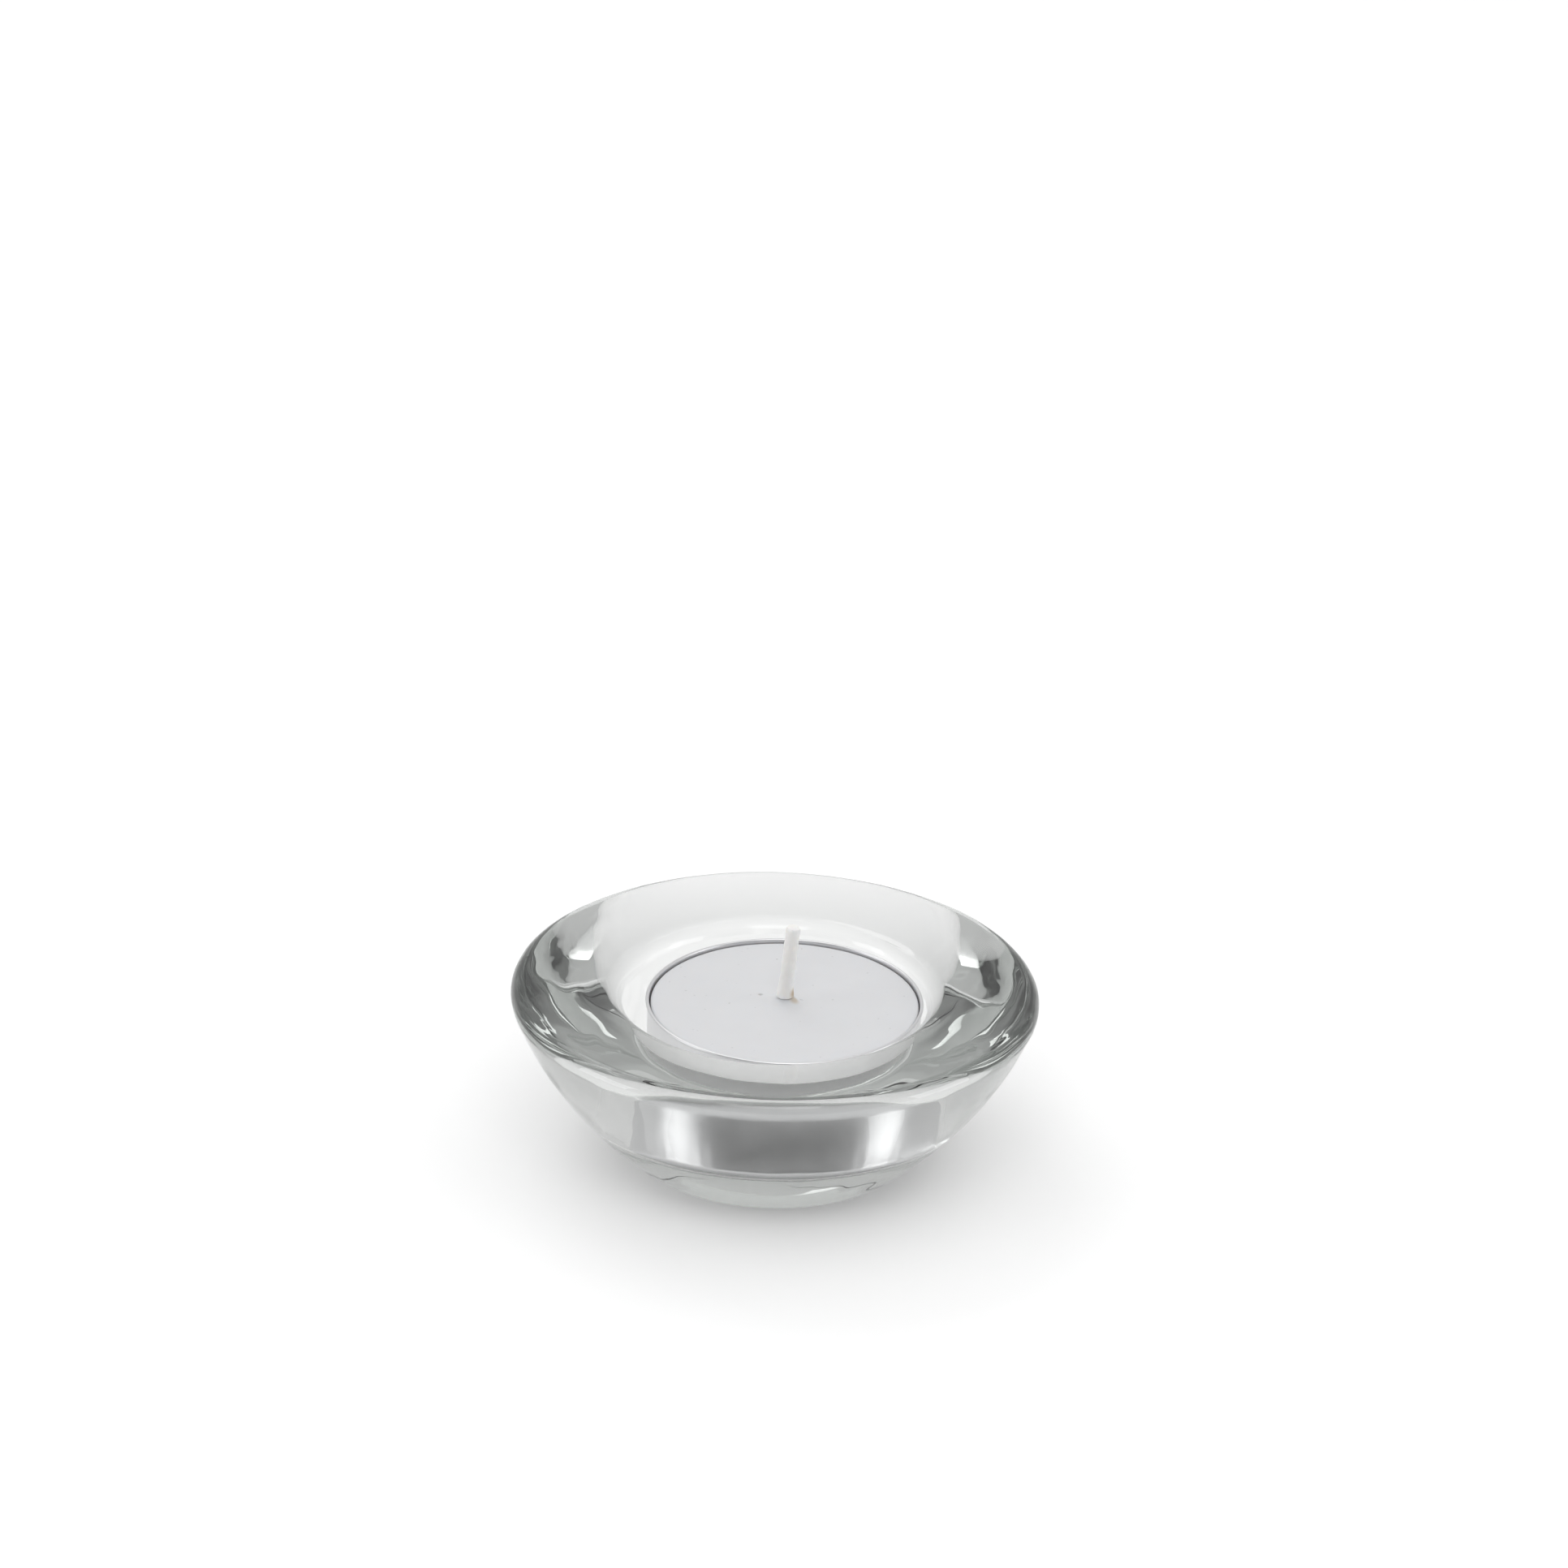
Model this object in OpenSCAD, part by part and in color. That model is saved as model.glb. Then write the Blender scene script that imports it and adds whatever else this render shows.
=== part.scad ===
// Pressed glass tealight holder with its tealight.
// Millimetres, +Z up. The origin is the middle of the foot, on the surface that the holder stands on.
// The tealight cup lifts straight out of the well, and the candle lifts straight out of the cup.

/* [Glass holder] */
// Diameter across the rim, the widest part of the glass
holder_d = 74; // [72:0.5:100]
// Height from the foot to the crest of the rim
holder_h = 25.7; // [24.8:0.1:32]
// Radius of the rim's outer edge
rim_round = 2; // [1.2:0.1:3]
// Diameter of the flat foot
foot_d = 36; // [32:0.5:44]
// Radius that turns the foot up into the wall
foot_round = 5; // [2:0.5:5]
// Radius of the wall's outward bulge, seen from the side
wall_bulge = 57; // [45:1:90]
// Glass under the middle of the well
floor_t = 9.8; // [6:0.1:10.5]
// Drop of the dish, from the crest of the rim to the mouth of the well
dish_drop = 1.2; // [0.6:0.1:2]
// Radius that rolls the dish over into the well
mouth_round = 3; // [1.5:0.1:4]
// Radius at the bottom corner of the well
well_round = 1.2; // [0.6:0.1:1.5]
// Diameter of the hollow pressed into the underside
punt_d = 29; // [20:0.5:30]
// Height of the hollow in the underside
punt_h = 0.8; // [0.4:0.1:1.5]

/* [Tealight cup] */
// Diameter of the cup's wall, outside
cup_d = 38.4; // [36:0.1:46]
// Height of the cup, to the top of its rolled rim
cup_h = 12.9; // [10.5:0.1:15.5]
// Thickness of the sheet
cup_t = 0.2; // [0.15:0.05:0.4]
// Radius at the cup's bottom corner, outside
cup_round = 2.2; // [1:0.1:3]
// Thickness of the roll at the rim
roll_d = 0.5; // [0.4:0.05:1]

/* [Wax] */
// Distance from the top of the rim down to the wax
wax_below = 0.4; // [0.3:0.1:2]
// Radius at the wax's top edge
wax_edge = 0.3; // [0.2:0.1:1]
// How far the wax climbs the wick
climb_h = 0.8; // [0.3:0.1:1.5]
// Diameter of the climbing part
climb_d = 8; // [5:0.5:14]

/* [Wick] */
// Thickness of the waxed wick
wick_d = 2; // [1.4:0.1:2.4]
// Length of wick that stands above the flat of the wax
wick_up = 11.7; // [8:0.1:16]
// Lean of the standing wick, in degrees
wick_lean = 5; // [1:0.5:10]
// Radius of the bend where the lean starts
wick_bend = 10; // [6:1:20]

/* [Wick sustainer] */
// Diameter of the metal disc under the wax
tab_d = 15; // [12:0.5:20]
// Thickness of the metal
tab_t = 0.3; // [0.2:0.05:0.4]
// Height of the neck that grips the wick
neck_h = 3.5; // [2:0.1:5]

/* [Fits] */
// Room round the cup's rolled rim in the well, on the radius
well_gap = 1.6; // [0.5:0.1:2]
// How far the loose cup is pushed across its well: 0 stands it in the middle, 1 against rim_gap
cup_push = 1; // [0:0.05:1]
// Room that is left beside the cup's rim when it is pushed right across
rim_gap = 0.2; // [0.1:0.05:0.5]
// Room round the wax in the cup, on the radius
wax_gap = 0.2; // [0.1:0.05:0.5]
// Room round the wick and the sustainer in the wax
wick_gap = 0.05; // [0.03:0.01:0.1]

/* [Hidden] */
$fn = 96;
arc_steps = 8;

// The cup and its rolled rim
cup_r = cup_d / 2;
cup_in = cup_r - cup_t;
roll_r = roll_d / 2;
roll_out = cup_in + roll_d;
cup_at = cup_push * (well_gap - rim_gap);

// The well, sized to the cup's rim
well_r = roll_out + well_gap;

// Centres of the arcs in the holder's section, as [radius, height]
rim_c = [holder_d / 2 - rim_round, holder_h - rim_round];
foot_c = [foot_d / 2, foot_round];
mouth_c = [well_r + mouth_round, holder_h - dish_drop - mouth_round];
corner_c = [well_r - well_round, floor_t + well_round];

// The wall's arc touches the foot's arc and the rim's arc from outside
wall_c = arc_touching(foot_c, foot_round, rim_c, rim_round, wall_bulge);
wall_low = angle_of(foot_c - wall_c);
wall_high = angle_of(rim_c - wall_c);

// Slope of the dish, the line that touches the rim's arc and the mouth's arc from above
dish = rim_c - mouth_c;
dish_slope = angle_of(dish) - asin((mouth_round - rim_round) / norm(dish));

// The hollow underneath is a shallow cap of a sphere
punt_r = punt_d / 2;
punt_sphere = (punt_r * punt_r + punt_h * punt_h) / (2 * punt_h);

// The wax, in the cup's own heights: 0 is the underside of the cup
wax_r = cup_in - wax_gap;
wax_corner = cup_round - cup_t + wax_gap;
wax_top = cup_h - wax_below;

// The wick and its sustainer
wick_r = wick_d / 2;
neck_in = wick_r + wick_gap;
neck_out = neck_in + tab_t;
bend_z = wax_top + climb_h;
bend_len = wick_bend * wick_lean * PI / 180;
lean_len = wick_up - climb_h - bend_len;
wick_sides = 24;
bend_steps = 4;

function angle_of(v) = atan2(v[1], v[0]);

// Points along an arc round c, from angle a0 to angle a1
function arc(c, r, a0, a1, n = arc_steps) =
    [for (i = [0:n]) let (a = a0 + (a1 - a0) * i / n) c + r * [cos(a), sin(a)]];

// Centre of an arc of radius r that encloses two smaller arcs and touches both
function arc_touching(c0, r0, c1, r1, r) =
    let (
        span = c1 - c0,
        d = norm(span),
        along = ((r - r0) * (r - r0) - (r - r1) * (r - r1) + d * d) / (2 * d),
        aside = sqrt((r - r0) * (r - r0) - along * along)
    )
    c0 + span * along / d + [-span[1], span[0]] * aside / d;

module glass_holder() {
    color([0.84, 0.88, 0.87, 0.5])
    rotate_extrude()
    polygon(concat(
        [[0, floor_t], [0, punt_h]],
        arc([0, punt_h - punt_sphere], punt_sphere, 90, angle_of([punt_r, punt_sphere - punt_h])),
        arc(foot_c, foot_round, -90, wall_low),
        arc(wall_c, wall_bulge, wall_low, wall_high),
        arc(rim_c, rim_round, wall_high, 90 + dish_slope),
        arc(mouth_c, mouth_round, 90 + dish_slope, 180),
        arc(corner_c, well_round, 0, -90)
    ));
}

// Puts a piece of the tealight on the floor of the well
module in_well() {
    translate([cup_at, 0, floor_t]) children();
}

module tealight_cup() {
    roll_c = [cup_in + roll_r, cup_h - roll_r];
    // Where the roll's underside comes back to the wall
    roll_end = -180 + acos((roll_r - cup_t) / roll_r);
    corner = [cup_r - cup_round, cup_round];
    color("silver")
    in_well()
    rotate_extrude()
    polygon(concat(
        [[0, cup_t], [0, 0]],
        arc(corner, cup_round, -90, 0),
        arc(roll_c, roll_r, roll_end, 180, 2 * arc_steps),
        arc(corner, cup_round - cup_t, 0, -90)
    ));
}

module wax() {
    hole_r = neck_in;
    neck_room = neck_out + wick_gap;
    neck_top = cup_t + neck_h + wick_gap;
    tab_room = tab_d / 2 + wick_gap;
    tab_top = cup_t + tab_t + wick_gap;
    climb_r = climb_d / 2;
    color("white")
    in_well()
    rotate_extrude()
    polygon(concat(
        [[tab_room, tab_top], [tab_room, cup_t]],
        arc([wax_r - wax_corner, cup_t + wax_corner], wax_corner, -90, 0),
        arc([wax_r - wax_edge, wax_top - wax_edge], wax_edge, 0, 90),
        [for (i = [0:arc_steps])
            let (t = i / arc_steps)
            [climb_r + (hole_r - climb_r) * t, wax_top + climb_h * t * t]],
        [[hole_r, neck_top], [neck_room, neck_top], [neck_room, tab_top]]
    ));
}

// One tube swept along the wick's own line: straight up through the wax, round the bend, then on at the lean
module wick() {
    bend = [for (i = [0:bend_steps])
        let (t = wick_lean * i / bend_steps)
        [wick_bend * (1 - cos(t)), bend_z + wick_bend * sin(t), t]];
    heel = bend[bend_steps];
    tip = [heel[0] + lean_len * sin(wick_lean), heel[1] + lean_len * cos(wick_lean), wick_lean];
    stations = concat([[0, cup_t, 0]], bend, [tip]);
    last = len(stations) - 1;
    color("ivory")
    in_well()
    polyhedron(
        points = [for (s = stations, k = [0:wick_sides - 1])
            let (a = 360 * k / wick_sides, u = wick_r * cos(a))
            [s[0] + u * cos(s[2]), wick_r * sin(a), s[1] - u * sin(s[2])]],
        faces = concat(
            [[for (k = [0:wick_sides - 1]) k]],
            [for (j = [0:last - 1], k = [0:wick_sides - 1])
                let (next = (k + 1) % wick_sides)
                [j * wick_sides + k, (j + 1) * wick_sides + k,
                 (j + 1) * wick_sides + next, j * wick_sides + next]],
            [[for (k = [wick_sides - 1:-1:0]) last * wick_sides + k]]
        )
    );
}

module wick_sustainer() {
    color("darkgray")
    in_well()
    translate([0, 0, cup_t])
    rotate_extrude()
    polygon([
        [neck_in, 0], [tab_d / 2, 0], [tab_d / 2, tab_t], [neck_out, tab_t],
        [neck_out, neck_h], [neck_in, neck_h]
    ]);
}

glass_holder();
tealight_cup();
wax();
wick();
wick_sustainer();
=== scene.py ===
import math

import bmesh
import bpy
from bpy.props import FloatProperty, FloatVectorProperty, IntProperty, PointerProperty
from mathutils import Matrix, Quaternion, Vector, noise


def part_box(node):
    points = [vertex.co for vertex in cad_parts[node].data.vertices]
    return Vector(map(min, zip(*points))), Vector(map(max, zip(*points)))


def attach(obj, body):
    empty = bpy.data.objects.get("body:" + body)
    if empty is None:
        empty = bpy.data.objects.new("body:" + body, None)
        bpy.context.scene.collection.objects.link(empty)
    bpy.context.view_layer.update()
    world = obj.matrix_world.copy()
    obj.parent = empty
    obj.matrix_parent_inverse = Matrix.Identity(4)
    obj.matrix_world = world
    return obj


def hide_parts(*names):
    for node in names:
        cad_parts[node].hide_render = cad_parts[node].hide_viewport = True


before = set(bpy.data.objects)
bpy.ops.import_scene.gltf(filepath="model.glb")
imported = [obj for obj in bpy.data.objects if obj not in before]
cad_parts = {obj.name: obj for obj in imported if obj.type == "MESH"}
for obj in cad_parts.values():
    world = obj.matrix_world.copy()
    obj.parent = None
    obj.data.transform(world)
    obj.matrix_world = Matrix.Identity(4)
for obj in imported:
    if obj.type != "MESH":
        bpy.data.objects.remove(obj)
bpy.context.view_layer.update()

bl_info = {
    "name": "Tealight Holder",
    "version": (1, 0, 0),
    "blender": (4, 5, 0),
    "location": "View3D > Sidebar > Tealight",
    "description": "A pressed glass tealight holder and its tealight, with a studio to show them in",
    "category": "Add Mesh",
}

MM = 0.001
FULL_TURN = 2 * math.pi
# Points closer together than this are one point
MERGE = 1e-7
# Edges sharper than this are shaded as edges
SHARP = math.radians(38)

GLASS_LOW, GLASS_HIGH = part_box("glass_holder")
CUP_LOW, CUP_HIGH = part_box("tealight_cup")
WAX_LOW, WAX_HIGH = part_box("wax")
WICK_LOW, WICK_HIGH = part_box("wick")
TAB_LOW, TAB_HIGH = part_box("wick_sustainer")

# Room round the wick and the sustainer in the wax
WICK_ROOM = 0.05 * MM

# The upright lines that the glass and the tealight are turned about
GLASS_AXIS = Vector((0, 0, 0))
CANDLE_AXIS = Vector(((CUP_LOW.x + CUP_HIGH.x) / 2, 0, 0))


# ---------------------------------------------------------------- sizes and colours


def length(name, description, default):
    return FloatProperty(
        name=name, description=description, default=default, unit="LENGTH", subtype="DISTANCE"
    )


def angle(name, description, degrees):
    return FloatProperty(name=name, description=description, default=math.radians(degrees), subtype="ANGLE")


def amount(name, description, default):
    return FloatProperty(name=name, description=description, default=default, min=0)


def colour(name, description, default):
    return FloatVectorProperty(
        name=name, description=description, default=default, size=3, min=0, max=1, subtype="COLOR"
    )


class GlassSettings(bpy.types.PropertyGroup):
    radius: length("Radius", "From the middle to the edge of the rim", (GLASS_HIGH.x - GLASS_LOW.x) / 2)
    height: length("Height", "From the foot to the crest of the rim", GLASS_HIGH.z - GLASS_LOW.z)
    rim_round: length("Rim rounding", "Radius of the rim's outer edge", 2 * MM)
    dish_drop: length("Dish drop", "From the crest of the rim down to the mouth of the well", 1.2 * MM)
    mouth_round: length("Mouth rounding", "Radius that rolls the dish over into the well", 3 * MM)
    well_gap: length("Well gap", "Room round the cup's rolled rim", 1.6 * MM)
    well_round: length("Well corner", "Radius at the bottom corner of the well", 1.2 * MM)
    floor: length("Floor", "Glass under the middle of the well", 9.8 * MM)
    foot_radius: length("Foot radius", "Radius of the flat foot", 18 * MM)
    foot_round: length("Foot rounding", "Radius that turns the foot up into the wall", 5 * MM)
    wall_bulge: length("Wall bulge", "Radius of the wall's outward bulge", 57 * MM)
    hollow_radius: length("Hollow radius", "Radius of the hollow in the underside", 14.5 * MM)
    hollow_height: length("Hollow height", "Height of the hollow in the underside", 0.8 * MM)
    foot_lift: length("Foot lift", "Rise of the foot from its outer edge in to the hollow", 0.05 * MM)
    ripple: length("Ripple", "Depth of the waves that pressing leaves in the glass", 0.09 * MM)
    ripple_size: length("Ripple size", "Distance between the waves", 11 * MM)
    ripple_rise: length("Ripple rise", "Height over which the waves set in above the foot", 6 * MM)
    wash: length("Wash", "Depth of the finer waves in the wall of the well", 0.11 * MM)
    wash_size: length("Wash size", "Distance between the finer waves", 4.5 * MM)
    polish: length("Polish", "Depth of the faint unevenness that fire polish leaves", 0.02 * MM)
    haze: amount("Haze", "Roughness where handling has dulled the glass most", 0.02)
    tint: colour("Tint", "Colour of light that has gone through thick glass", (0.84, 0.848, 0.842))
    density: amount("Density", "How soon the tint deepens as the glass gets thicker", 68.0)


class CupSettings(bpy.types.PropertyGroup):
    sheet: length("Sheet", "Thickness of the aluminium", 0.2 * MM)
    corner: length("Corner", "Radius at the bottom corner, outside", 2.2 * MM)
    base_lift: length("Base lift", "How far the middle of the base stands above its edge", 0.05 * MM)
    roll: length("Roll", "Radius of the rolled rim", 0.25 * MM)
    pucker: length("Pucker", "Depth of the creases near the bottom corner", 0.015 * MM)
    puckers: IntProperty(name="Puckers", description="Number of creases round the cup", default=72)
    dent: length("Dent", "How far handling pushes the wall out of round", 0.08 * MM)
    lines: length("Lines", "Depth of the upright lines that drawing leaves", 0.006 * MM)
    satin: amount("Satin", "Roughness of the aluminium where it is smoothest", 0.24)
    metal: colour("Metal", "Colour of the aluminium", (0.74, 0.74, 0.75))


class WaxSettings(bpy.types.PropertyGroup):
    edge: length("Edge", "Radius at the top edge", 0.35 * MM)
    corner: length("Corner", "Radius at the bottom edge", 2.2 * MM)
    climb: length("Climb", "How far the wax climbs the wick", 0.8 * MM)
    climb_radius: length("Climb radius", "Where the climb starts", 3.6 * MM)
    swell: length("Swell", "Unevenness of the top", 0.05 * MM)
    shrink: length("Shrink", "How far the top sinks half way out as the wax sets", 0.12 * MM)
    swell_size: length("Swell size", "Distance between the swells of the top", 7 * MM)
    bloom: length("Bloom", "Depth of the fine grain in the surface", 0.02 * MM)
    sheen: amount("Sheen", "Roughness of the wax where it shines most", 0.34)
    shade: colour("Shade", "Colour of the wax", (0.73, 0.735, 0.75))


class WickSettings(bpy.types.PropertyGroup):
    radius: length("Radius", "Radius of the waxed wick", 1 * MM)
    lean: angle("Lean", "Lean of the standing wick", 5)
    bend: length("Bend", "Radius of the bend where the lean starts", 10 * MM)
    strand: length("Strand", "Height of the braid's strands", 0.07 * MM)
    pitch: length("Pitch", "Length of one turn of a strand", 5.2 * MM)
    collar: length("Collar", "Wax that clings round the foot of the wick", 0.24 * MM)
    collar_height: length("Collar height", "How far up the wick that wax thins out", 1.7 * MM)
    worn: length("Worn", "How far the cut end is worn round", 0.16 * MM)
    fray: length("Fray", "Unevenness of the cut end", 0.10 * MM)
    fibre: length("Fibre", "Depth of the cotton's fibres", 0.03 * MM)
    cotton: colour("Cotton", "Colour of the waxed cotton", (0.96, 0.95, 0.93))


class SustainerSettings(bpy.types.PropertyGroup):
    sheet: length("Sheet", "Thickness of the steel", 0.3 * MM)
    edge: length("Edge", "Radius of the sheet's edges", 0.08 * MM)
    groove: length("Groove", "Depth of the ring stamped in the underside", 0.12 * MM)
    groove_radius: length("Groove radius", "From the middle to the near edge of that ring", 4.6 * MM)
    groove_width: length("Groove width", "Width of that ring", 0.9 * MM)
    crimp: length("Crimp", "Depth of the dents that grip the wick", 0.16 * MM)
    grain: length("Grain", "Depth of the grain in the tin", 0.01 * MM)
    metal: colour("Metal", "Colour of the tinned steel", (0.60, 0.60, 0.61))


class StudioSettings(bpy.types.PropertyGroup):
    distance: length("Camera distance", "From the camera to the middle of the holder", 0.6)
    elevation: angle("Elevation", "How far the camera is raised above the floor", 27.68)
    roll: angle("Roll", "Turn of the camera about its own line of sight", 1.72)
    lens: FloatProperty(name="Lens", description="Focal length of the camera", default=97.4, unit="CAMERA")
    floor_radius: length("Floor radius", "From the middle to the edge of the floor", 6.0)
    glow: amount("Glow", "Light that the floor gives off, as a light table does", 0.15)
    walls: amount("Walls", "Brightness of the pale walls", 0.73)
    dimness: amount("Dimness", "How much darker the room behind the camera is", 0.92)
    paper: colour("Paper", "Colour of the floor", (0.97, 0.97, 0.97))


class TealightSettings(bpy.types.PropertyGroup):
    glass: PointerProperty(type=GlassSettings, name="Glass holder", description="Sizes of the glass holder")
    cup: PointerProperty(type=CupSettings, name="Cup", description="Sizes of the aluminium cup")
    wax: PointerProperty(type=WaxSettings, name="Wax", description="Sizes of the wax")
    wick: PointerProperty(type=WickSettings, name="Wick", description="Sizes of the wick")
    sustainer: PointerProperty(
        type=SustainerSettings, name="Sustainer", description="Sizes of the wick's sustainer"
    )
    studio: PointerProperty(type=StudioSettings, name="Studio", description="Camera and floor")


# ---------------------------------------------------------------- outlines and turned shapes


def arc(centre, radius, start, end, steps):
    """Points along an arc in a section, as distance from the axis and height. Angles are in degrees."""
    turns = [math.radians(start + (end - start) * i / steps) for i in range(steps + 1)]
    return [Vector(centre) + radius * Vector((math.cos(turn), math.sin(turn))) for turn in turns]


def straight(start, end, steps):
    return [Vector(start).lerp(Vector(end), i / steps) for i in range(steps + 1)]


def slope(run):
    return math.degrees(math.atan2(run.y, run.x))


def centre_touching(first, first_radius, second, second_radius, radius):
    """Centre of an arc that encloses two smaller arcs and touches both."""
    span = second - first
    apart = span.length
    inner, outer = radius - first_radius, radius - second_radius
    along = (inner ** 2 - outer ** 2 + apart ** 2) / (2 * apart)
    aside = math.sqrt(inner ** 2 - along ** 2)
    return first + (span * along + Vector((-span.y, span.x)) * aside) / apart


def ease(t):
    """0 below 0, 1 above 1, and a smooth curve between."""
    t = min(max(t, 0), 1)
    return t * t * (3 - 2 * t)


def turned(outline, axis, steps, ring=False):
    """Turns an outline about an upright axis. A ring closes on itself; other outlines end on the axis."""
    mesh = bmesh.new()
    points = outline[:1]
    for point in outline[1:]:
        if (point - points[-1]).length > MERGE:
            points.append(point)
    verts = [mesh.verts.new((axis.x + point.x, axis.y, point.y)) for point in points]
    edges = [mesh.edges.new(pair) for pair in zip(verts, verts[1:])]
    if ring:
        edges.append(mesh.edges.new((verts[-1], verts[0])))
    bmesh.ops.spin(
        mesh, geom=verts + edges, cent=axis, axis=(0, 0, 1), angle=FULL_TURN, steps=steps, use_merge=True
    )
    bmesh.ops.remove_doubles(mesh, verts=mesh.verts, dist=MERGE)
    bmesh.ops.recalc_face_normals(mesh, faces=mesh.faces)
    return mesh


def place_in(point, axis):
    """A point's distance from an upright axis and its angle round it."""
    across = point - axis
    return math.hypot(across.x, across.y), math.atan2(across.y, across.x)


def reach_out(vert, axis, more):
    """Moves a point away from an upright axis."""
    across = Vector((vert.co.x - axis.x, vert.co.y - axis.y, 0))
    if across.length > MERGE:
        vert.co += across.normalized() * more


def stand_for(node, name, mesh, finish, body):
    """Makes the mesh a piece that stands for a node of the model and moves with its body."""
    data = bpy.data.meshes.new(name)
    mesh.to_mesh(data)
    mesh.free()
    data.shade_smooth()
    data.set_sharp_from_angle(angle=SHARP)
    data.materials.append(finish)
    piece = bpy.data.objects.new(name, data)
    bpy.context.scene.collection.objects.link(piece)
    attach(piece, body)
    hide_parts(node)
    return piece


# ---------------------------------------------------------------- finishes


class Link:
    """A node's output. Arithmetic on it adds Math nodes beside it."""

    def __init__(self, nodes, output):
        self.nodes = nodes
        self.output = output

    def sum(self, operation, *values):
        return self.nodes.add("ShaderNodeMath", {"operation": operation}, dict(enumerate(values)))

    def __add__(self, other):
        return self.sum("ADD", self, other)

    __radd__ = __add__

    def __sub__(self, other):
        return self.sum("SUBTRACT", self, other)

    def __rsub__(self, other):
        return self.sum("SUBTRACT", other, self)

    def __mul__(self, other):
        return self.sum("MULTIPLY", self, other)

    __rmul__ = __mul__

    def __truediv__(self, other):
        return self.sum("DIVIDE", self, other)

    def __rtruediv__(self, other):
        return self.sum("DIVIDE", other, self)


class Nodes:
    """The nodes of a material or of the world."""

    def __init__(self, tree):
        self.tree = tree

    def add(self, kind, settings, inputs, output=0):
        """Adds a node: its settings first, then a value or a link for each socket. Returns one output."""
        made = self.tree.nodes.new(kind)
        for name, value in settings.items():
            setattr(made, name, value)
        for key, value in inputs.items():
            if isinstance(value, Link):
                self.tree.links.new(value.output, made.inputs[key])
            else:
                made.inputs[key].default_value = value
        return Link(self, made.outputs[output])

    def coordinates(self, kind="Object"):
        return self.add("ShaderNodeTexCoord", {}, {}, kind)

    def parts(self, vector):
        """The three numbers of a vector."""
        split = self.add("ShaderNodeSeparateXYZ", {}, {"Vector": vector}).output.node
        return [Link(self, split.outputs[axis]) for axis in "XYZ"]

    def stretch(self, vector, shift, scale):
        return self.add("ShaderNodeMapping", {}, {"Vector": vector, "Location": shift, "Scale": scale})

    def grain(self, vector, scale, detail=2.0, roughness=0.5):
        """Smooth noise from 0 to 1."""
        inputs = {"Vector": vector, "Scale": scale, "Detail": detail, "Roughness": roughness}
        return self.add("ShaderNodeTexNoise", {}, inputs)

    def ramp(self, value, low, high, start=0.0, end=1.0):
        """Start below low, end above high, and a smooth curve between."""
        return self.add(
            "ShaderNodeMapRange",
            {"interpolation_type": "SMOOTHSTEP"},
            {"Value": value, "From Min": low, "From Max": high, "To Min": start, "To Max": end},
        )

    def root(self, value):
        return self.add("ShaderNodeMath", {"operation": "SQRT"}, {0: value})

    def away(self, vector, point):
        """Distance from a point."""
        return self.add("ShaderNodeVectorMath", {"operation": "DISTANCE"}, {0: vector, 1: point}, "Value")

    def blend(self, factor, low, high):
        """A colour that runs from low to high as factor runs from 0 to 1."""
        low, high = (tone if isinstance(tone, Link) else (*tone, 1) for tone in (low, high))
        # The sockets of a Mix node that is set to colour, by number: factor, both colours and the result
        return self.add("ShaderNodeMix", {"data_type": "RGBA"}, {0: factor, 6: low, 7: high}, 2)

    def mottle(self, factor, tone, low, high):
        """A colour that runs from darker to lighter than tone by two factors, and never past white."""
        return self.blend(factor, [part * low for part in tone], [min(part * high, 1) for part in tone])


class Finish(Nodes):
    """A material with one shader, constant sockets set on it, and nodes for what varies over the surface."""

    def __init__(self, name, constants):
        self.material = bpy.data.materials.new(name)
        self.material.use_nodes = True
        super().__init__(self.material.node_tree)
        self.shader = self.tree.nodes["Principled BSDF"]
        for socket, value in constants.items():
            self.shader.inputs[socket].default_value = value

    def feed(self, **links):
        for socket, link in links.items():
            self.tree.links.new(link.output, self.shader.inputs[socket.replace("_", " ")])

    def relief(self, height, depth):
        """Bump, where a height of 1 stands depth metres proud."""
        self.feed(Normal=self.add("ShaderNodeBump", {}, {"Height": height, "Distance": depth}, "Normal"))


def clear_glass(settings):
    finish = Finish("clear_glass", {"IOR": 1.52, "Transmission Weight": 1.0, "Base Color": (1, 1, 1, 1)})
    place = finish.coordinates()
    # Fire polish: almost perfectly smooth, with faint handling haze and long waves left by the press
    haze = finish.grain(place, 60, 3)
    finish.feed(Roughness=finish.ramp(haze, 0.5, 0.8, 0.0, settings.haze))
    finish.relief(finish.grain(place, 110, 1), settings.polish)
    depth = {"Color": (*settings.tint, 1), "Density": settings.density}
    absorb = finish.add("ShaderNodeVolumeAbsorption", {}, depth, "Volume")
    finish.tree.links.new(absorb.output, finish.tree.nodes["Material Output"].inputs["Volume"])
    return finish.material


def drawn_aluminium(settings):
    finish = Finish("drawn_aluminium", {"Metallic": 1.0})
    place = finish.coordinates()
    # Drawing leaves fine upright lines in the wall
    lines = finish.grain(finish.stretch(place, (0, 0, 0), (1, 1, 0.03)), 1900, 2, 0.5)
    cloud = finish.grain(place, 220, 3)
    tone = finish.mottle(cloud, settings.metal, 0.93, 1.06)
    finish.feed(Base_Color=tone, Roughness=settings.satin + 0.10 * cloud + 0.06 * lines)
    finish.relief(lines, settings.lines)
    return finish.material


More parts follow.
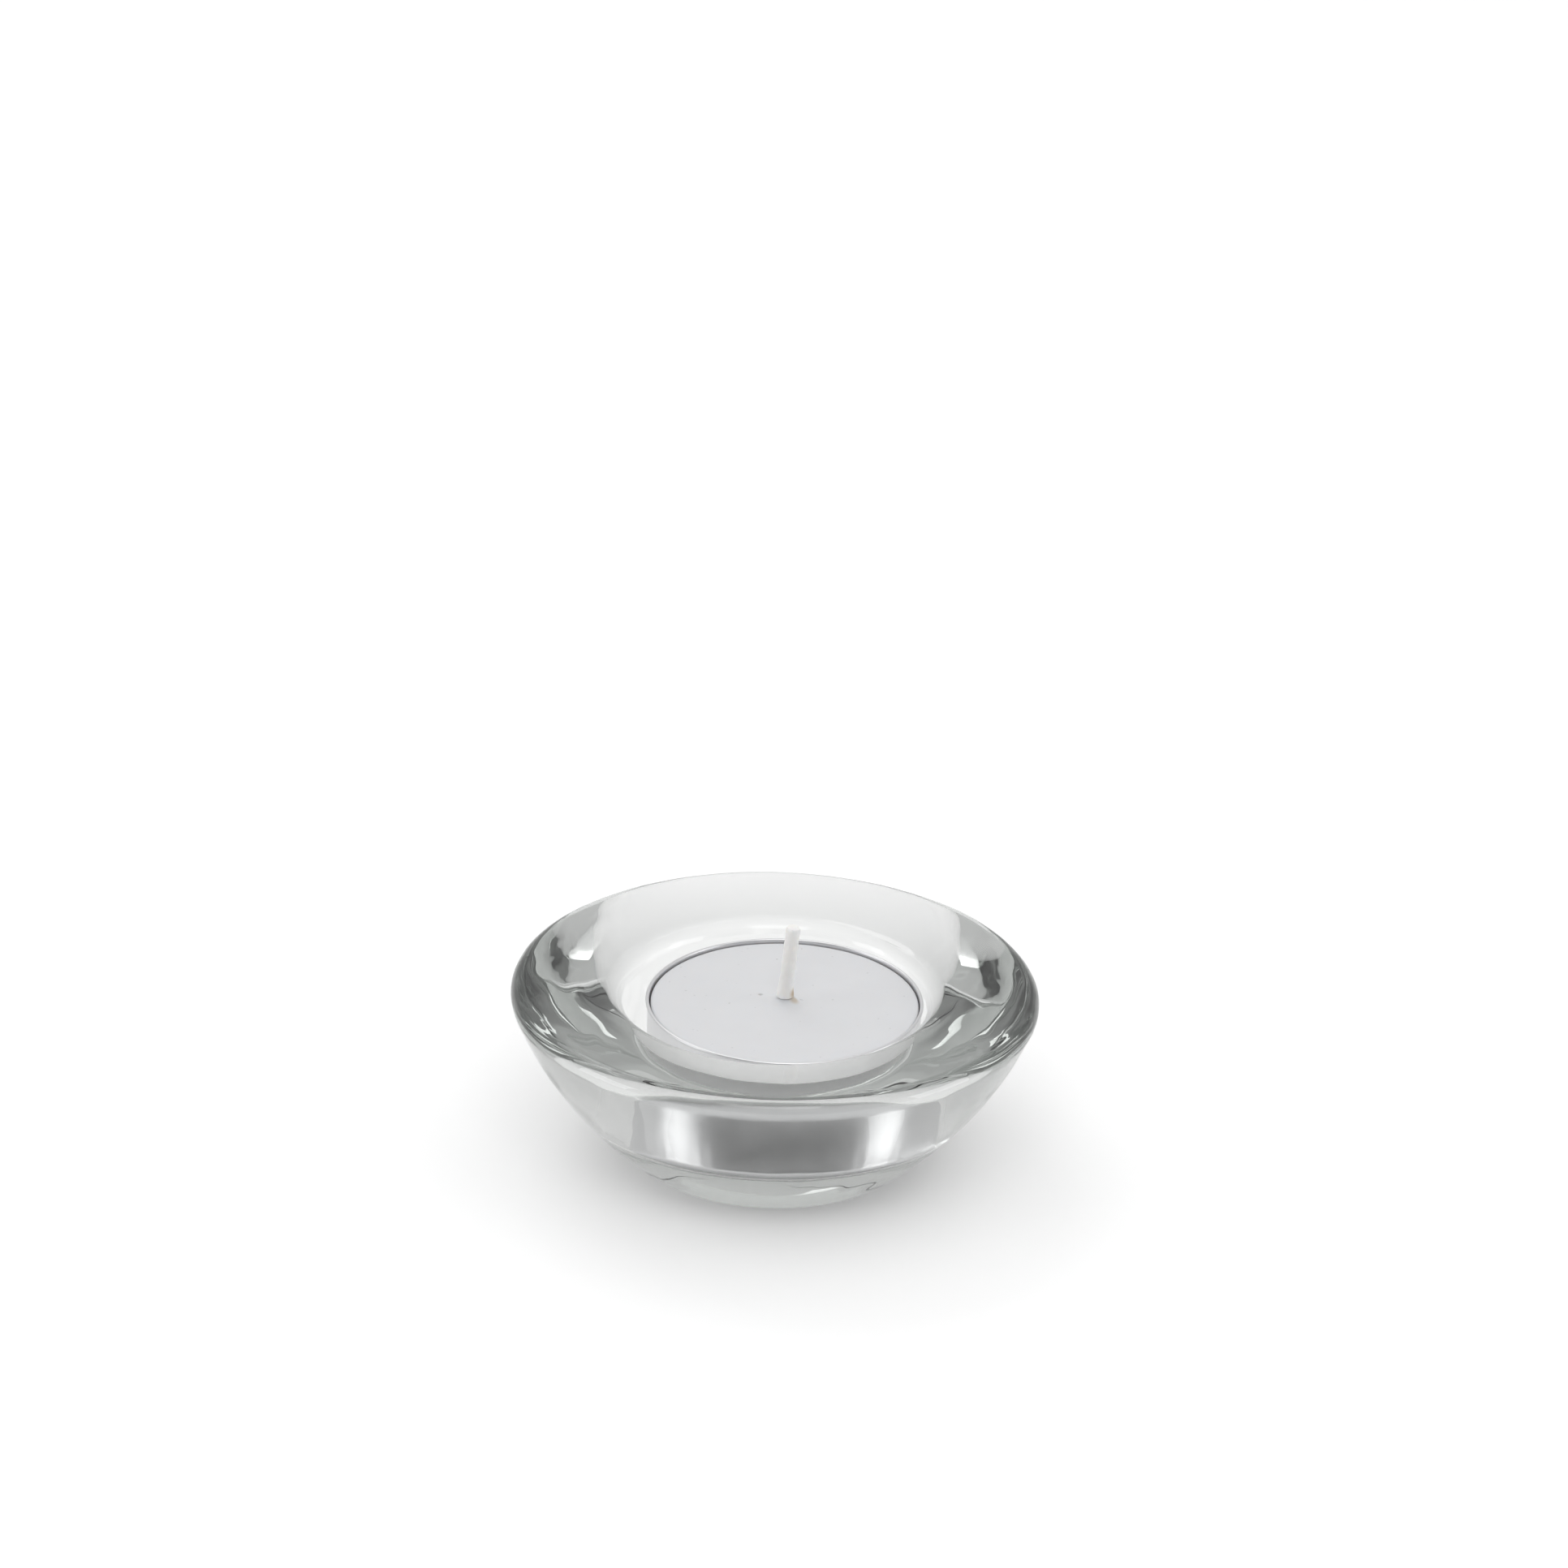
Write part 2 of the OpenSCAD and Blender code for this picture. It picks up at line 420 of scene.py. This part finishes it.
def poured_wax(settings, wick_foot, bubble):
    finish = Finish(
        "poured_wax",
        {
            "IOR": 1.44,
            "Subsurface Weight": 0.35,
            "Subsurface Radius": (1.0, 0.85, 0.75),
            "Subsurface Scale": 2.0 * MM,
        },
    )
    place = finish.coordinates()
    bloom = finish.grain(place, 260, 4, 0.55)
    dust = finish.grain(finish.stretch(place, (0.013, 0.004, 0), (1, 1, 1)), 1400, 1)
    specks = finish.ramp(dust, 0.735, 0.78)
    pale = finish.mottle(bloom, settings.shade, 0.97, 1.02)
    # A trace of scorched wax beside the foot of the wick
    scorch = finish.ramp(finish.away(place, wick_foot), 0.3 * MM, 1.1 * MM, 0.55, 0.0)
    # Painted shade: the bubble nearest the wick is coloured dark grey inside, where shade falls in the pit
    painted_pit_shade = finish.ramp(finish.away(place, bubble), 0.15 * MM, 0.5 * MM, 0.7, 0.0)
    # Dust specks, and the painted shade in that bubble
    dust_and_pit_shade = finish.blend(specks * 0.35 + painted_pit_shade, pale, (0.32, 0.31, 0.30))
    tone = finish.blend(scorch, dust_and_pit_shade, (0.50, 0.38, 0.22))
    finish.feed(Base_Color=tone, Roughness=settings.sheen + 0.22 * bloom)
    finish.relief(bloom + 0.25 * finish.grain(place, 2200, 2), settings.bloom)
    return finish.material


def waxed_cotton(settings, wick_foot):
    finish = Finish(
        "waxed_cotton",
        {
            "IOR": 1.45,
            "Subsurface Weight": 0.25,
            "Subsurface Radius": (1.0, 0.8, 0.6),
            "Subsurface Scale": 0.8 * MM,
        },
    )
    place = finish.coordinates()
    fibre = finish.grain(finish.stretch(place, (0, 0, 0), (1, 1, 0.25)), 5200, 3, 0.6)
    soak = finish.grain(place, 700, 2)
    pale = finish.mottle(fibre, settings.cotton, 0.92, 1)
    waxed = finish.blend(0.5 * soak, pale, (0.95, 0.945, 0.94))
    scorch = finish.ramp(finish.away(place, wick_foot), 0.2 * MM, 1.2 * MM, 0.8, 0.0)
    finish.feed(Base_Color=finish.blend(scorch, waxed, (0.45, 0.31, 0.15)), Roughness=0.78 - 0.35 * soak)
    finish.relief(fibre, settings.fibre)
    return finish.material


def tinned_steel(settings):
    finish = Finish("tinned_steel", {"Metallic": 1.0})
    place = finish.coordinates()
    spangle = finish.add("ShaderNodeTexVoronoi", {}, {"Vector": place, "Scale": 900.0}, "Distance")
    cloud = finish.grain(place, 500, 3)
    tone = finish.mottle(cloud, settings.metal, 0.85, 1.12)
    finish.feed(Base_Color=tone, Roughness=0.26 + 0.16 * cloud + 0.1 * spangle)
    finish.relief(finish.grain(place, 3000, 2), settings.grain)
    return finish.material


def studio_paper(settings):
    # The floor is lit a little from below, as on a light table
    finish = Finish(
        "studio_paper",
        {
            "Roughness": 0.9,
            "Specular IOR Level": 0.1,
            "Emission Color": (1, 1, 1, 1),
            "Emission Strength": settings.glow,
        },
    )
    fibre = finish.grain(finish.coordinates(), 900, 3)
    finish.feed(Base_Color=finish.mottle(fibre, settings.paper, 0.985, 1))
    return finish.material


# ---------------------------------------------------------------- pieces


class TEALIGHT_OT_glass_holder(bpy.types.Operator):
    """Turn the pressed glass holder"""

    bl_idname = "tealight.glass_holder"
    bl_label = "Glass Holder"

    def execute(self, context):
        sizes = context.scene.tealight.glass
        well = (CUP_HIGH.x - CUP_LOW.x) / 2 + sizes.well_gap
        rim = Vector((sizes.radius - sizes.rim_round, sizes.height - sizes.rim_round))
        foot = Vector((sizes.foot_radius, sizes.foot_round))
        mouth = Vector((well + sizes.mouth_round, sizes.height - sizes.dish_drop - sizes.mouth_round))
        corner = Vector((well - sizes.well_round, sizes.floor + sizes.well_round))
        wall = centre_touching(foot, sizes.foot_round, rim, sizes.rim_round, sizes.wall_bulge)
        wall_low, wall_high = slope(foot - wall), slope(rim - wall)
        dish = rim - mouth
        over = 90 + slope(dish) - math.degrees(math.asin((sizes.mouth_round - sizes.rim_round) / dish.length))
        rise = sizes.hollow_height
        hollow = (sizes.hollow_radius ** 2 + rise ** 2) / (2 * rise)
        hollow_edge = slope(Vector((sizes.hollow_radius, hollow - rise)))
        under = arc((0, sizes.foot_lift + rise - hollow), hollow, 90, hollow_edge, 16)
        rim_top = arc(rim, sizes.rim_round, wall_high, over, 36)
        mouth_roll = arc(mouth, sizes.mouth_round, over, 180, 28)
        well_corner = arc(corner, sizes.well_round, 0, -90, 10)
        outline = (
            under
            + straight(under[-1], (sizes.foot_radius, 0), 3)
            + arc(foot, sizes.foot_round, -90, wall_low, 16)
            + arc(wall, sizes.wall_bulge, wall_low, wall_high, 40)
            + rim_top
            + straight(rim_top[-1], mouth_roll[0], 14)
            + mouth_roll
            + straight(mouth_roll[-1], well_corner[0], 12)
            + well_corner
            + straight(well_corner[-1], (0, sizes.floor), 14)
        )
        mesh = turned(outline, GLASS_AXIS, 256)
        mesh.normal_update()
        for vert in mesh.verts:
            reach, turn = place_in(vert.co, GLASS_AXIS)
            inside = reach < well + 0.5 * sizes.mouth_round and vert.co.z > sizes.floor - MERGE
            # The waves fade out towards the foot and the floor of the well
            free = ease((vert.co.z - (sizes.floor if inside else 0)) / sizes.ripple_rise)
            place = vert.co / sizes.ripple_size
            wave = noise.noise(place) + 0.35 * noise.noise(2.7 * place)
            vert.co += vert.normal * sizes.ripple * free * wave
            if inside:
                # The plunger drags the hot glass up the wall of the well, which leaves it clear of the cup
                round_well = Vector((math.cos(turn), math.sin(turn), 0)) * well
                wave = noise.noise((round_well + Vector((0, 0, 0.4 * vert.co.z))) / sizes.wash_size)
                reach_out(vert, GLASS_AXIS, sizes.wash * ease((reach / well - 0.97) / 0.03) * (1 + wave))
        stand_for("glass_holder", "pressed_glass", mesh, clear_glass(sizes), "holder")
        return {"FINISHED"}


class TEALIGHT_OT_cup(bpy.types.Operator):
    """Draw the thin aluminium cup and roll its rim"""

    bl_idname = "tealight.cup"
    bl_label = "Aluminium Cup"

    def execute(self, context):
        sizes = context.scene.tealight.cup
        base, top = CUP_LOW.z, CUP_HIGH.z
        inner = (CUP_HIGH.x - CUP_LOW.x) / 2 - 2 * sizes.roll
        outer = inner + sizes.sheet
        corner = Vector((outer - sizes.corner, base + sizes.corner))
        curl = Vector((inner + sizes.roll, top - sizes.roll))
        # The sheet rolls outwards and down until its edge, at this angle, nearly meets the wall again
        edge = -112
        outside = arc(corner, sizes.corner, -90, 0, 12)
        inside = arc(corner, sizes.corner - sizes.sheet, 0, -90, 12)
        hem = arc(curl, sizes.roll - sizes.sheet, 180, edge, 14)
        lip = arc(curl, sizes.roll, edge, 180, 26)
        outline = (
            straight((0, base + sizes.base_lift), (outside[0].x - 1.5 * MM, base + sizes.base_lift), 20)
            + straight((outside[0].x - 0.8 * MM, base), outside[0], 2)
            + outside
            + straight(outside[-1], hem[0], 16)
            + hem
            + lip
            + straight(lip[-1], inside[0], 16)
            + inside
            + straight(inside[-1], (0, base + sizes.sheet), 20)
        )
        mesh = turned(outline, CANDLE_AXIS, 6 * sizes.puckers)
        for vert in mesh.verts:
            _, turn = place_in(vert.co, CANDLE_AXIS)
            height = vert.co.z - base
            # Creases fade out up the wall, and in across the bottom
            crease = ease((height - 0.2 * MM) / (1.5 * MM)) * ease((7.5 * MM - height) / (5 * MM))
            round_cup = Vector((math.cos(turn), math.sin(turn), 0))
            uneven = 0.5 + 0.5 * noise.noise(6 * round_cup)
            reach_out(vert, CANDLE_AXIS, sizes.pucker * crease * uneven * math.cos(sizes.puckers * turn))
            # Handling leaves the thin wall and its rim a little out of round
            dent = sizes.dent * noise.noise(1.4 * round_cup + Vector((0, 0, 60 * height)))
            reach_out(vert, CANDLE_AXIS, dent * ease(height / (6 * MM)))
        stand_for("tealight_cup", "drawn_cup", mesh, drawn_aluminium(sizes), "cup")
        return {"FINISHED"}


class TEALIGHT_OT_wax(bpy.types.Operator):
    """Pour the wax"""

    bl_idname = "tealight.wax"
    bl_label = "Wax"

    # Small bubbles that burst in the top: distance and angle from the wick, width and depth
    BUBBLES = (
        (4.1 * MM, math.radians(147), 0.30 * MM, 0.20 * MM),
        (18.1 * MM, math.radians(-102), 0.50 * MM, 0.30 * MM),
        (11.2 * MM, math.radians(38), 0.30 * MM, 0.05 * MM),
        (14.6 * MM, math.radians(-156), 0.34 * MM, 0.05 * MM),
    )

    def execute(self, context):
        sizes = context.scene.tealight.wax
        wick, tab = context.scene.tealight.wick, context.scene.tealight.sustainer
        base, crest = WAX_LOW.z, WAX_HIGH.z
        level = crest - sizes.climb
        radius = (WAX_HIGH.x - WAX_LOW.x) / 2
        hole = wick.radius + WICK_ROOM
        neck = hole + tab.sheet + WICK_ROOM
        neck_top = TAB_HIGH.z + WICK_ROOM
        tab_edge = (TAB_HIGH.x - TAB_LOW.x) / 2 + WICK_ROOM
        tab_top = base + tab.sheet + WICK_ROOM
        low = arc((radius - sizes.corner, base + sizes.corner), sizes.corner, -90, 0, 14)
        high = arc((radius - sizes.edge, level - sizes.edge), sizes.edge, 0, 90, 10)
        climb = [
            Vector((sizes.climb_radius + (hole - sizes.climb_radius) * t, level + sizes.climb * t ** 2.4))
            for t in (i / 26 for i in range(27))
        ]
        outline = (
            straight((tab_edge, tab_top), (tab_edge, base), 2)
            + straight((tab_edge, base), low[0], 12)
            + low
            + straight(low[-1], high[0], 8)
            + high
            + straight(high[-1], climb[0], 64)
            + climb
            + straight(climb[-1], (hole, neck_top), 12)
            + straight((hole, neck_top), (neck, neck_top), 1)
            + straight((neck, neck_top), (neck, tab_top), 4)
            + straight((neck, tab_top), (tab_edge, tab_top), 8)
        )
        mesh = turned(outline[:-1], CANDLE_AXIS, 320, ring=True)
        for vert in mesh.verts:
            reach, _ = place_in(vert.co, CANDLE_AXIS)
            if vert.co.z < level - 0.5 * sizes.edge:
                continue
            away = ease((reach - hole) / (1.5 * MM))
            waves = noise.noise(vert.co / sizes.swell_size) + 0.5 * noise.noise(vert.co / (2.6 * MM))
            # The wax shrinks a little as it sets, most of all half way out
            shrink = sizes.shrink * math.sin(math.pi * min(reach / radius, 1)) ** 2
            drop = sizes.swell * (1 + waves) + shrink
            for out, bearing, width, depth in self.BUBBLES:
                middle = CANDLE_AXIS + out * Vector((math.cos(bearing), math.sin(bearing), 0))
                gap = Vector((vert.co.x - middle.x, vert.co.y - middle.y)).length
                drop += depth * math.exp(-((gap / width) ** 2))
            vert.co.z -= away * drop
        foot = CANDLE_AXIS + Vector((wick.radius + 0.3 * MM, -0.5 * MM, crest - 0.1 * MM))
        out, bearing, _, _ = self.BUBBLES[0]
        bubble = CANDLE_AXIS + Vector((out * math.cos(bearing), out * math.sin(bearing), level))
        stand_for("wax", "poured_wax", mesh, poured_wax(sizes, foot, bubble), "candle")
        return {"FINISHED"}


class TEALIGHT_OT_wick(bpy.types.Operator):
    """Braid the cotton wick and lean it over"""

    bl_idname = "tealight.wick"
    bl_label = "Wick"

    def execute(self, context):
        sizes = context.scene.tealight.wick
        lean, bend = sizes.lean, sizes.bend
        base = WICK_LOW.z
        bend_at = WAX_HIGH.z
        # Length of the wick along its own line, which is a little more than its height
        bend_length = bend * lean
        rise = WICK_HIGH.z - sizes.radius * math.sin(lean) - bend_at - bend * math.sin(lean)
        tip = bend_at + bend_length + rise / math.cos(lean)
        outline = (
            straight((0, base), (sizes.radius, base), 6)
            + straight((sizes.radius, base), (sizes.radius, tip), 190)
            + straight((sizes.radius, tip), (0, tip), 8)
        )
        mesh = turned(outline, CANDLE_AXIS, 56)
        for vert in mesh.verts:
            reach, turn = place_in(vert.co, CANDLE_AXIS)
            above = vert.co.z - bend_at
            if above < 0:
                continue
            skin = ease((reach / sizes.radius - 0.6) / 0.4)
            # Two sets of strands cross each other, and the wax that soaks them fills the braid near the foot
            twist = FULL_TURN * above / sizes.pitch
            braid = abs(math.cos(2 * turn + twist) * math.cos(2 * turn - twist)) - 0.5
            bare = ease((above - 0.5 * MM) / (4 * MM))
            collar = sizes.collar * math.exp(-((above / sizes.collar_height) ** 2))
            collar *= ease(above / (0.15 * MM))
            fuzz = noise.noise(1.7 * Vector((math.cos(turn), math.sin(turn), 0.9 * above / MM)))
            more = sizes.strand * braid * (0.35 + 0.65 * bare) + collar + 0.05 * MM * fuzz * bare
            # The cut end is worn round and a little frayed
            left = tip - vert.co.z
            more -= sizes.worn * max(0, 1 - left / (0.5 * MM)) ** 2
            reach_out(vert, CANDLE_AXIS, more * skin)
            if left < 0.01 * MM:
                fray = sizes.fray * noise.noise(vert.co / (0.45 * MM))
                vert.co.z += fray - 0.12 * MM * (reach / sizes.radius) ** 2
        for vert in mesh.verts:
            above = vert.co.z - bend_at
            if above <= 0:
                continue
            # Straight up, round the bend, then on at the lean
            turn = min(above / bend, lean)
            on = max(above - bend_length, 0)
            along, up = math.sin(turn), math.cos(turn)
            across = vert.co.x - CANDLE_AXIS.x
            vert.co.x = CANDLE_AXIS.x + bend * (1 - up) + on * along + across * up
            vert.co.z = bend_at + bend * along + on * up - across * along
        foot = CANDLE_AXIS + Vector((sizes.radius + 0.35 * MM, -0.4 * MM, bend_at + 0.7 * MM))
        stand_for("wick", "braided_wick", mesh, waxed_cotton(sizes, foot), "candle")
        return {"FINISHED"}


class TEALIGHT_OT_sustainer(bpy.types.Operator):
    """Stamp the steel disc that holds the wick upright"""

    bl_idname = "tealight.sustainer"
    bl_label = "Wick Sustainer"

    def execute(self, context):
        sizes = context.scene.tealight.sustainer
        base, top = TAB_LOW.z, TAB_HIGH.z
        edge = (TAB_HIGH.x - TAB_LOW.x) / 2
        hole = context.scene.tealight.wick.radius + WICK_ROOM
        neck = hole + sizes.sheet
        sheet = base + sizes.sheet
        soft = sizes.edge
        groove = [
            Vector((
                sizes.groove_radius + sizes.groove_width * t,
                base + sizes.groove * math.sin(math.pi * t) ** 2,
            ))
            for t in (i / 10 for i in range(11))
        ]
        outline = (
            arc((hole + soft, base + soft), soft, 180, 270, 4)
            + straight((hole + soft, base), groove[0], 6)
            + groove
            + straight(groove[-1], (edge - soft, base), 4)
            + arc((edge - soft, base + soft), soft, -90, 0, 4)
            + arc((edge - soft, sheet - soft), soft, 0, 90, 4)
            + straight((edge - soft, sheet), (neck + 2 * soft, sheet), 10)
            + arc((neck + 2 * soft, sheet + 2 * soft), 2 * soft, 270, 180, 5)
            + straight((neck, sheet + 2 * soft), (neck, top - soft), 18)
            + arc((neck - soft, top - soft), soft, 0, 90, 4)
            + arc((hole + soft, top - soft), soft, 90, 180, 4)
            + straight((hole, top - soft), (hole, base + soft), 18)
        )
        mesh = turned(outline[:-1], CANDLE_AXIS, 96, ring=True)
        for vert in mesh.verts:
            reach, turn = place_in(vert.co, CANDLE_AXIS)
            # Four dents in the outside of the neck hold the wick
            if reach > hole + 0.5 * sizes.sheet and vert.co.z > sheet + 3 * soft:
                up = (vert.co.z - sheet) / (top - sheet)
                grip = math.exp(-(((up - 0.55) / 0.2) ** 2)) * max(0, math.cos(4 * turn)) ** 2
                reach_out(vert, CANDLE_AXIS, -sizes.crimp * grip)
        stand_for("wick_sustainer", "stamped_sustainer", mesh, tinned_steel(sizes), "candle")
        return {"FINISHED"}


# ---------------------------------------------------------------- studio


# What the lights point at, and what the camera looks at
LIT = Vector((0, 0, 15 * MM))
SIGHT = Vector((0.4 * MM, 18.5 * MM, 47.4 * MM))
# Height of the point that the camera is raised about
CAMERA_PIVOT = 12 * MM


def softbox(name, place, aim, size, radiance):
    """A soft panel of light that shows in reflections and not in the background."""
    lamp = bpy.data.lights.new(name, "AREA")
    lamp.shape = "RECTANGLE"
    lamp.size, lamp.size_y = size
    lamp.energy = radiance * math.pi * size[0] * size[1]
    panel = bpy.data.objects.new(name, lamp)
    panel.location = place
    panel.rotation_mode = "QUATERNION"
    panel.rotation_quaternion = (aim - Vector(place)).to_track_quat("-Z", "Y")
    panel.visible_camera = False
    bpy.context.scene.collection.objects.link(panel)


class TEALIGHT_OT_studio(bpy.types.Operator):
    """Lay the floor, hang the lights and set up the camera"""

    bl_idname = "tealight.studio"
    bl_label = "Studio"

    # Name, place, width and height, and radiance
    SOFTBOXES = (
        ("front_softbox", (0, -0.95, 1.25), (0.9, 0.55), 1.9),
        ("back_softbox", (-0.5, 0.85, 1.2), (0.8, 0.5), 1.5),
        ("left_softbox", (-1.2, -0.38, 0.33), (0.6, 0.62), 1.9),
        ("right_softbox", (1.2, -0.38, 0.33), (0.6, 0.62), 1.9),
    )

    def execute(self, context):
        settings = context.scene.tealight.studio
        scene = context.scene

        floor = bmesh.new()
        bmesh.ops.create_circle(floor, cap_ends=True, radius=settings.floor_radius, segments=96)
        sheet = bpy.data.meshes.new("studio_floor")
        floor.to_mesh(sheet)
        floor.free()
        sheet.materials.append(studio_paper(settings))
        paper = bpy.data.objects.new("studio_floor", sheet)
        scene.collection.objects.link(paper)

        for name, place, size, radiance in self.SOFTBOXES:
            softbox(name, place, LIT, size, radiance)

        world = bpy.data.worlds.new("studio")
        scene.world = world
        world.use_nodes = True
        nodes = Nodes(world.node_tree)
        _, y, z = nodes.parts(nodes.coordinates("Generated"))
        # Pale walls and ceiling, and the dim room that the camera stands in
        front = -1 * y / nodes.root(1.001 - z * z)
        wide = nodes.ramp(front, 0.1, 0.5) * nodes.ramp(z, 0.6, 0.75, 1.0, 0.0)
        dim = nodes.ramp(front, 0.5, 0.85) * nodes.ramp(z, 0.34, 0.52, 1.0, 0.0)
        overhead = nodes.ramp(z, 0.7, 0.95)
        light = settings.walls * (1 + 0.5 * overhead) * (1 - 0.5 * wide) * (1 - settings.dimness * dim)
        # What the camera sees past the floor is a plain pale wall
        seen = nodes.add("ShaderNodeLightPath", {}, {}, "Is Camera Ray")
        backdrop = nodes.tree.nodes["Background"]
        nodes.tree.links.new((light + seen * (1 - light)).output, backdrop.inputs["Strength"])
        backdrop.inputs["Color"].default_value = (1, 1, 1, 1)

        lens = bpy.data.cameras.new("camera")
        lens.sensor_width = 36
        lens.lens = settings.lens
        camera = bpy.data.objects.new("camera", lens)
        far = settings.distance * math.cos(settings.elevation)
        high = settings.distance * math.sin(settings.elevation)
        camera.location = (0, -far, high + CAMERA_PIVOT)
        camera.rotation_mode = "QUATERNION"
        sight = (SIGHT - camera.location).to_track_quat("-Z", "Y")
        camera.rotation_quaternion = sight @ Quaternion((0, 0, 1), settings.roll)
        scene.collection.objects.link(camera)
        scene.camera = camera
        scene.view_settings.view_transform = "Standard"

        # Thick glass passes light on from wall to wall many times
        scene.cycles.max_bounces = 48
        scene.cycles.glossy_bounces = 32
        scene.cycles.transmission_bounces = 32
        return {"FINISHED"}


class TEALIGHT_PT_sidebar(bpy.types.Panel):
    """Everything in the tealight scene"""

    bl_idname = "TEALIGHT_PT_sidebar"
    bl_label = "Tealight Holder"
    bl_space_type = "VIEW_3D"
    bl_region_type = "UI"
    bl_category = "Tealight"

    def draw(self, context):
        settings = context.scene.tealight
        for group, operator in GROUPS:
            box = self.layout.box()
            box.operator(operator.bl_idname)
            sizes = getattr(settings, group)
            for name in sizes.bl_rna.properties.keys():
                if name not in ("rna_type", "name"):
                    box.prop(sizes, name)


# Each group of settings, and the operator that uses it
GROUPS = (
    ("glass", TEALIGHT_OT_glass_holder),
    ("cup", TEALIGHT_OT_cup),
    ("wax", TEALIGHT_OT_wax),
    ("wick", TEALIGHT_OT_wick),
    ("sustainer", TEALIGHT_OT_sustainer),
    ("studio", TEALIGHT_OT_studio),
)
CLASSES = (
    GlassSettings,
    CupSettings,
    WaxSettings,
    WickSettings,
    SustainerSettings,
    StudioSettings,
    TealightSettings,
    *(operator for _, operator in GROUPS),
    TEALIGHT_PT_sidebar,
)


def register():
    for cls in CLASSES:
        bpy.utils.register_class(cls)
    bpy.types.Scene.tealight = PointerProperty(type=TealightSettings)


def unregister():
    del bpy.types.Scene.tealight
    for cls in reversed(CLASSES):
        bpy.utils.unregister_class(cls)


def main():
    register()
    bpy.ops.tealight.studio()
    bpy.ops.tealight.glass_holder()
    bpy.ops.tealight.cup()
    bpy.ops.tealight.wax()
    bpy.ops.tealight.wick()
    bpy.ops.tealight.sustainer()


if __name__ == "__main__":
    main()
